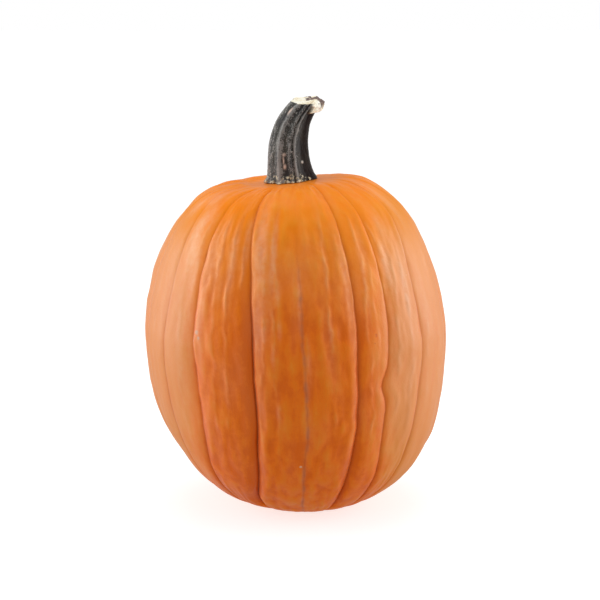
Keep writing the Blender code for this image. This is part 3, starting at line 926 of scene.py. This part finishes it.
def rind_gloss(nodes, height, side):
    """The gloss: duller on the crown and low down, and yellowish on the front and back."""
    crown = nodes.span(height, *DULL_HEIGHTS, kind="SMOOTHSTEP")
    gloss = nodes.span(height, *GLOSS_HEIGHTS, to_low=0.01, to_high=0.50)
    gloss = nodes.product(gloss, nodes.scaled(crown, -0.85, 1.0))
    nodes.shade({
        "Roughness": nodes.scaled(side, 0.14, 0.30),
        "Specular Tint": nodes.mix(side, WARM_GLOSS, WHITE),
        "Specular IOR Level": gloss,
        "Sheen Weight": nodes.product(gloss, 0.20),
        "Sheen Roughness": 0.4,
    })


def rind_material():
    material = bpy.data.materials.new("rind")
    nodes = Nodes(material, "Principled BSDF")
    place = nodes.add("ShaderNodeTexCoord").outputs["Object"]
    part = nodes.add("ShaderNodeSeparateXYZ", {"Vector": place}).outputs
    height = part["Z"]
    streak = nodes.noise(nodes.stretched(place, (1.0, 1.0, 0.16)), 170.0, 3.0)
    blotch = nodes.noise(place, 38.0, 5.0, 0.62)
    grain = nodes.noise(place, 230.0, 4.0, 0.6)
    patterns = (streak, blotch, grain)
    # The flanks' mask: it carries the painted light on the flanks and also sets their gloss
    off_middle = nodes.math("ABSOLUTE", nodes.math("ADD", part["X"], FLANK_SHIFT))
    side = nodes.span(off_middle, *PAINTED_FLANK_LIGHT, kind="SMOOTHSTEP")
    base = rind_colour(nodes, height, side, patterns)
    base = rind_wax_and_sheen(nodes, height, grain, base)
    base = rind_marks(nodes, place, height, patterns, base)
    rind_gloss(nodes, height, side)
    skin = nodes.scaled(streak, 0.8, nodes.noise(place, 650.0, 2.0))
    nodes.shade({"Base Color": base, "Normal": nodes.bump(skin, 0.0006, 0.20)})
    return material


STEM_FIELDS = ("ridge", "cream", "dried", "collar", "tan", "slit", "speck", "shady")
# Colours of the stem, as stops of a ramp or as one linear colour
BARK_COLOURS = ((0.35, (0.009, 0.007, 0.007)), (0.60, (0.030, 0.027, 0.018)), (0.75, (0.050, 0.050, 0.036)))
BLOOM_AND_HIGHLIGHT = (0.25, 0.24, 0.225, 1.0)
SHADY_BARK = (0.016, 0.008, 0.008, 1.0)
SCAR_TAN = (0.70, 0.53, 0.43, 1.0)
SLIT_BLACK = (0.006, 0.004, 0.004, 1.0)
SPECK_WHITE = (0.62, 0.60, 0.54, 1.0)
CRUMB_COLOURS = ((0.40, (0.22, 0.16, 0.08)), (0.56, (0.70, 0.66, 0.48)))
FLESH_COLOURS = ((0.30, (0.66, 0.50, 0.30)), (0.45, (0.90, 0.83, 0.62)), (0.65, (0.96, 0.93, 0.82)))
CRUST_COLOURS = ((0.30, (0.040, 0.022, 0.022)), (0.55, (0.17, 0.105, 0.085)), (0.75, (0.55, 0.43, 0.32)))


def stem_bark(nodes, field, patterns):
    """Dark skin, with a grey bloom rubbed over the ridges that is partly painted highlight, painted shade on
    the shady sides, tan scars, dark slits and white specks.
    """
    fibre, patch, grit = patterns
    cover = nodes.uneven(patch, 1.6, nodes.uneven(grit, 3.6, nodes.uneven(fibre, 4.0, field["ridge"])))
    cover = nodes.span(cover, 0.55, 1.35, kind="SMOOTHSTEP")
    # Grey bloom over the ridges, partly painted highlight
    base = nodes.mix(nodes.product(cover, 0.8), nodes.ramp(patch, BARK_COLOURS), BLOOM_AND_HIGHLIGHT)
    # Painted shade: the shady sides are darker and redder
    base = nodes.mix(nodes.product(field["shady"], 0.55), base, SHADY_BARK)
    bare = nodes.product(field["tan"], nodes.scaled(fibre, 2.0, -0.1, use_clamp=True))
    base = nodes.mix(bare, base, SCAR_TAN)
    base = nodes.mix(field["slit"], base, SLIT_BLACK)
    return nodes.mix(field["speck"], base, SPECK_WHITE)


def stem_crumbs(nodes, place, collar, fibre, base):
    """Corky crumbs round the foot."""
    crumbs = nodes.uneven(nodes.noise(place, 430.0, 2.0), 3.0, collar)
    crumbs = nodes.span(crumbs, 0.36, 0.62)
    crumbs = nodes.product(crumbs, nodes.product(collar, 4.0, use_clamp=True))
    return nodes.mix(crumbs, base, nodes.ramp(fibre, CRUMB_COLOURS))


def stem_flesh(nodes, dried, patterns):
    """Pale flesh on the cut, with dried patches."""
    fibre, patch, grit = patterns
    flesh = nodes.ramp(nodes.uneven(grit, 0.6, patch), FLESH_COLOURS)
    return nodes.mix(dried, flesh, nodes.ramp(fibre, CRUST_COLOURS))


def stem_material():
    material = bpy.data.materials.new("stem")
    nodes = Nodes(material, "Principled BSDF")
    place = nodes.add("ShaderNodeTexCoord").outputs["Object"]
    field = {name: nodes.attribute(name) for name in STEM_FIELDS}
    lengthways = nodes.stretched(place, (1.0, 1.0, 0.35))
    fibre = nodes.noise(lengthways, 420.0, 4.0, 0.65)
    patch = nodes.noise(lengthways, 120.0, 3.0)
    grit = nodes.noise(place, 900.0, 2.0)
    patterns = (fibre, patch, grit)
    base = stem_bark(nodes, field, patterns)
    base = stem_crumbs(nodes, place, field["collar"], fibre, base)
    base = nodes.mix(field["cream"], base, stem_flesh(nodes, field["dried"], patterns))
    nodes.shade({
        "Base Color": base,
        "Roughness": nodes.scaled(fibre, 0.25, 0.42),
        # Less gloss on the shady sides, as painted shade
        "Specular IOR Level": nodes.scaled(field["shady"], -0.45, 0.5, use_clamp=True),
        "Normal": nodes.bump(nodes.scaled(fibre, 1.5, grit), 0.0005, 0.8),
    })
    return material


# ---------------------------------------------------------------- stage
FLOOR_HALF = 12.0
FLOOR_DROP = 0.0005
SKY = (0.47, 1.16)  # radiance of the upper surroundings ahead and behind, and added at the sides
GROUND = (0.52, 0.80)  # the same for the lower surroundings
SIDEWAYS = (0.54, 0.95)  # how far to the side the brighter surroundings begin and are full
HORIZON = (-0.06, 0.06)


def build_stage():
    """A white floor. The world's lower half stands in for its bounce light, which stays smooth that way."""
    half = FLOOR_HALF
    corners = [(-half, -half, 0), (half, -half, 0), (half, half, 0), (-half, half, 0)]
    mesh = bpy.data.meshes.new("floor")
    mesh.from_pydata(corners, [], [(0, 1, 2, 3)])
    mesh.materials.append(floor_material())
    floor = place_piece("floor", mesh)
    floor.location.z = -FLOOR_DROP
    floor.visible_diffuse = False
    floor.visible_glossy = False
    floor.visible_shadow = False


def floor_material():
    material = bpy.data.materials.new("floor")
    nodes = Nodes(material, "Principled BSDF")
    nodes.shade({
        "Base Color": (0.50, 0.50, 0.50, 1),
        "Roughness": 0.9,
        "Specular IOR Level": 0.0,
        "Emission Color": WHITE,
        "Emission Strength": 0.72,
    })
    return material


def build_world():
    """White surroundings, brighter to the left and right, and plain white to the camera."""
    world = bpy.data.worlds.new("studio")
    bpy.context.scene.world = world
    nodes = Nodes(world, "Background")
    direction = nodes.add("ShaderNodeTexCoord").outputs["Generated"]
    part = nodes.add("ShaderNodeSeparateXYZ", {0: direction}).outputs
    sideways = nodes.span(nodes.math("ABSOLUTE", part["X"]), *SIDEWAYS, kind="SMOOTHSTEP")
    upper = nodes.span(part["Z"], *HORIZON, kind="SMOOTHSTEP")
    sky = nodes.scaled(sideways, SKY[1], SKY[0])
    ground = nodes.scaled(sideways, GROUND[1], GROUND[0])
    light = nodes.add("ShaderNodeMix", {"Factor": upper, "A": ground, "B": sky}).outputs["Result"]
    seen = nodes.add("ShaderNodeLightPath").outputs["Is Camera Ray"]
    strength = nodes.add("ShaderNodeMix", {"Factor": seen, "A": light, "B": 1.0}).outputs["Result"]
    nodes.shade({"Color": WHITE, "Strength": strength})


# Softboxes: name, place, width and height in metres, and radiance
SIDE_AZIMUTH = math.radians(102)
SIDE_DISTANCE = 1.5
SIDE_RIGHT = SIDE_DISTANCE * math.sin(SIDE_AZIMUTH)
SIDE_BACK = -SIDE_DISTANCE * math.cos(SIDE_AZIMUTH)
SOFTBOXES = (
    ("top_softbox", (0.0, 0.15, 1.7), (1.3, 1.3), 1.95),
    ("left_softbox", (-SIDE_RIGHT, SIDE_BACK, 0.42), (1.3, 1.1), 1.7),
    ("right_softbox", (SIDE_RIGHT, SIDE_BACK, 0.42), (1.3, 1.1), 1.7),
)
LIGHT_TARGET = Vector((0, 0, 0.17))


def build_lights():
    for name, place, size, radiance in SOFTBOXES:
        data = bpy.data.lights.new(name, "AREA")
        data.shape = "RECTANGLE"
        data.size, data.size_y = size
        data.energy = radiance * math.pi * size[0] * size[1]
        light = place_piece(name, data)
        light.location = place
        light.rotation_euler = (LIGHT_TARGET - light.location).to_track_quat("-Z", "Y").to_euler()
        light.visible_camera = False


CAMERA_ELEVATION = math.radians(12)
CAMERA_DISTANCE = 1.5
LENS_MM = 100
SENSOR_MM = 36
CLIP_END = 50
AIM_RIGHT = 0.00405  # how far right of and above the middle of the widest ring the camera looks
AIM_UP = 0.021375


def build_camera():
    middle = Vector((FRUIT_CENTRE[0], 0, FLAT_DEPTH))
    toward = Vector((0, math.cos(CAMERA_ELEVATION), -math.sin(CAMERA_ELEVATION)))
    up = Vector((0, math.sin(CAMERA_ELEVATION), math.cos(CAMERA_ELEVATION)))
    data = bpy.data.cameras.new("camera")
    data.sensor_width = SENSOR_MM
    data.lens = LENS_MM
    data.clip_end = CLIP_END
    camera = place_piece("camera", data)
    camera.location = middle - toward * CAMERA_DISTANCE
    aim = middle + Vector((AIM_RIGHT, 0, 0)) + up * AIM_UP
    camera.rotation_euler = (aim - camera.location).to_track_quat("-Z", "Y").to_euler()
    bpy.context.scene.camera = camera


bpy.context.scene.view_settings.view_transform = "Standard"
build_camera()
build_stage()
build_world()
build_lights()

fruit = build_fruit()
fruit.data.materials.append(rind_material())
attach(fruit, "root")
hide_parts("fruit")

stem = build_stem()
stem.data.materials.append(stem_material())
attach(stem, "root")
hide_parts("stem")
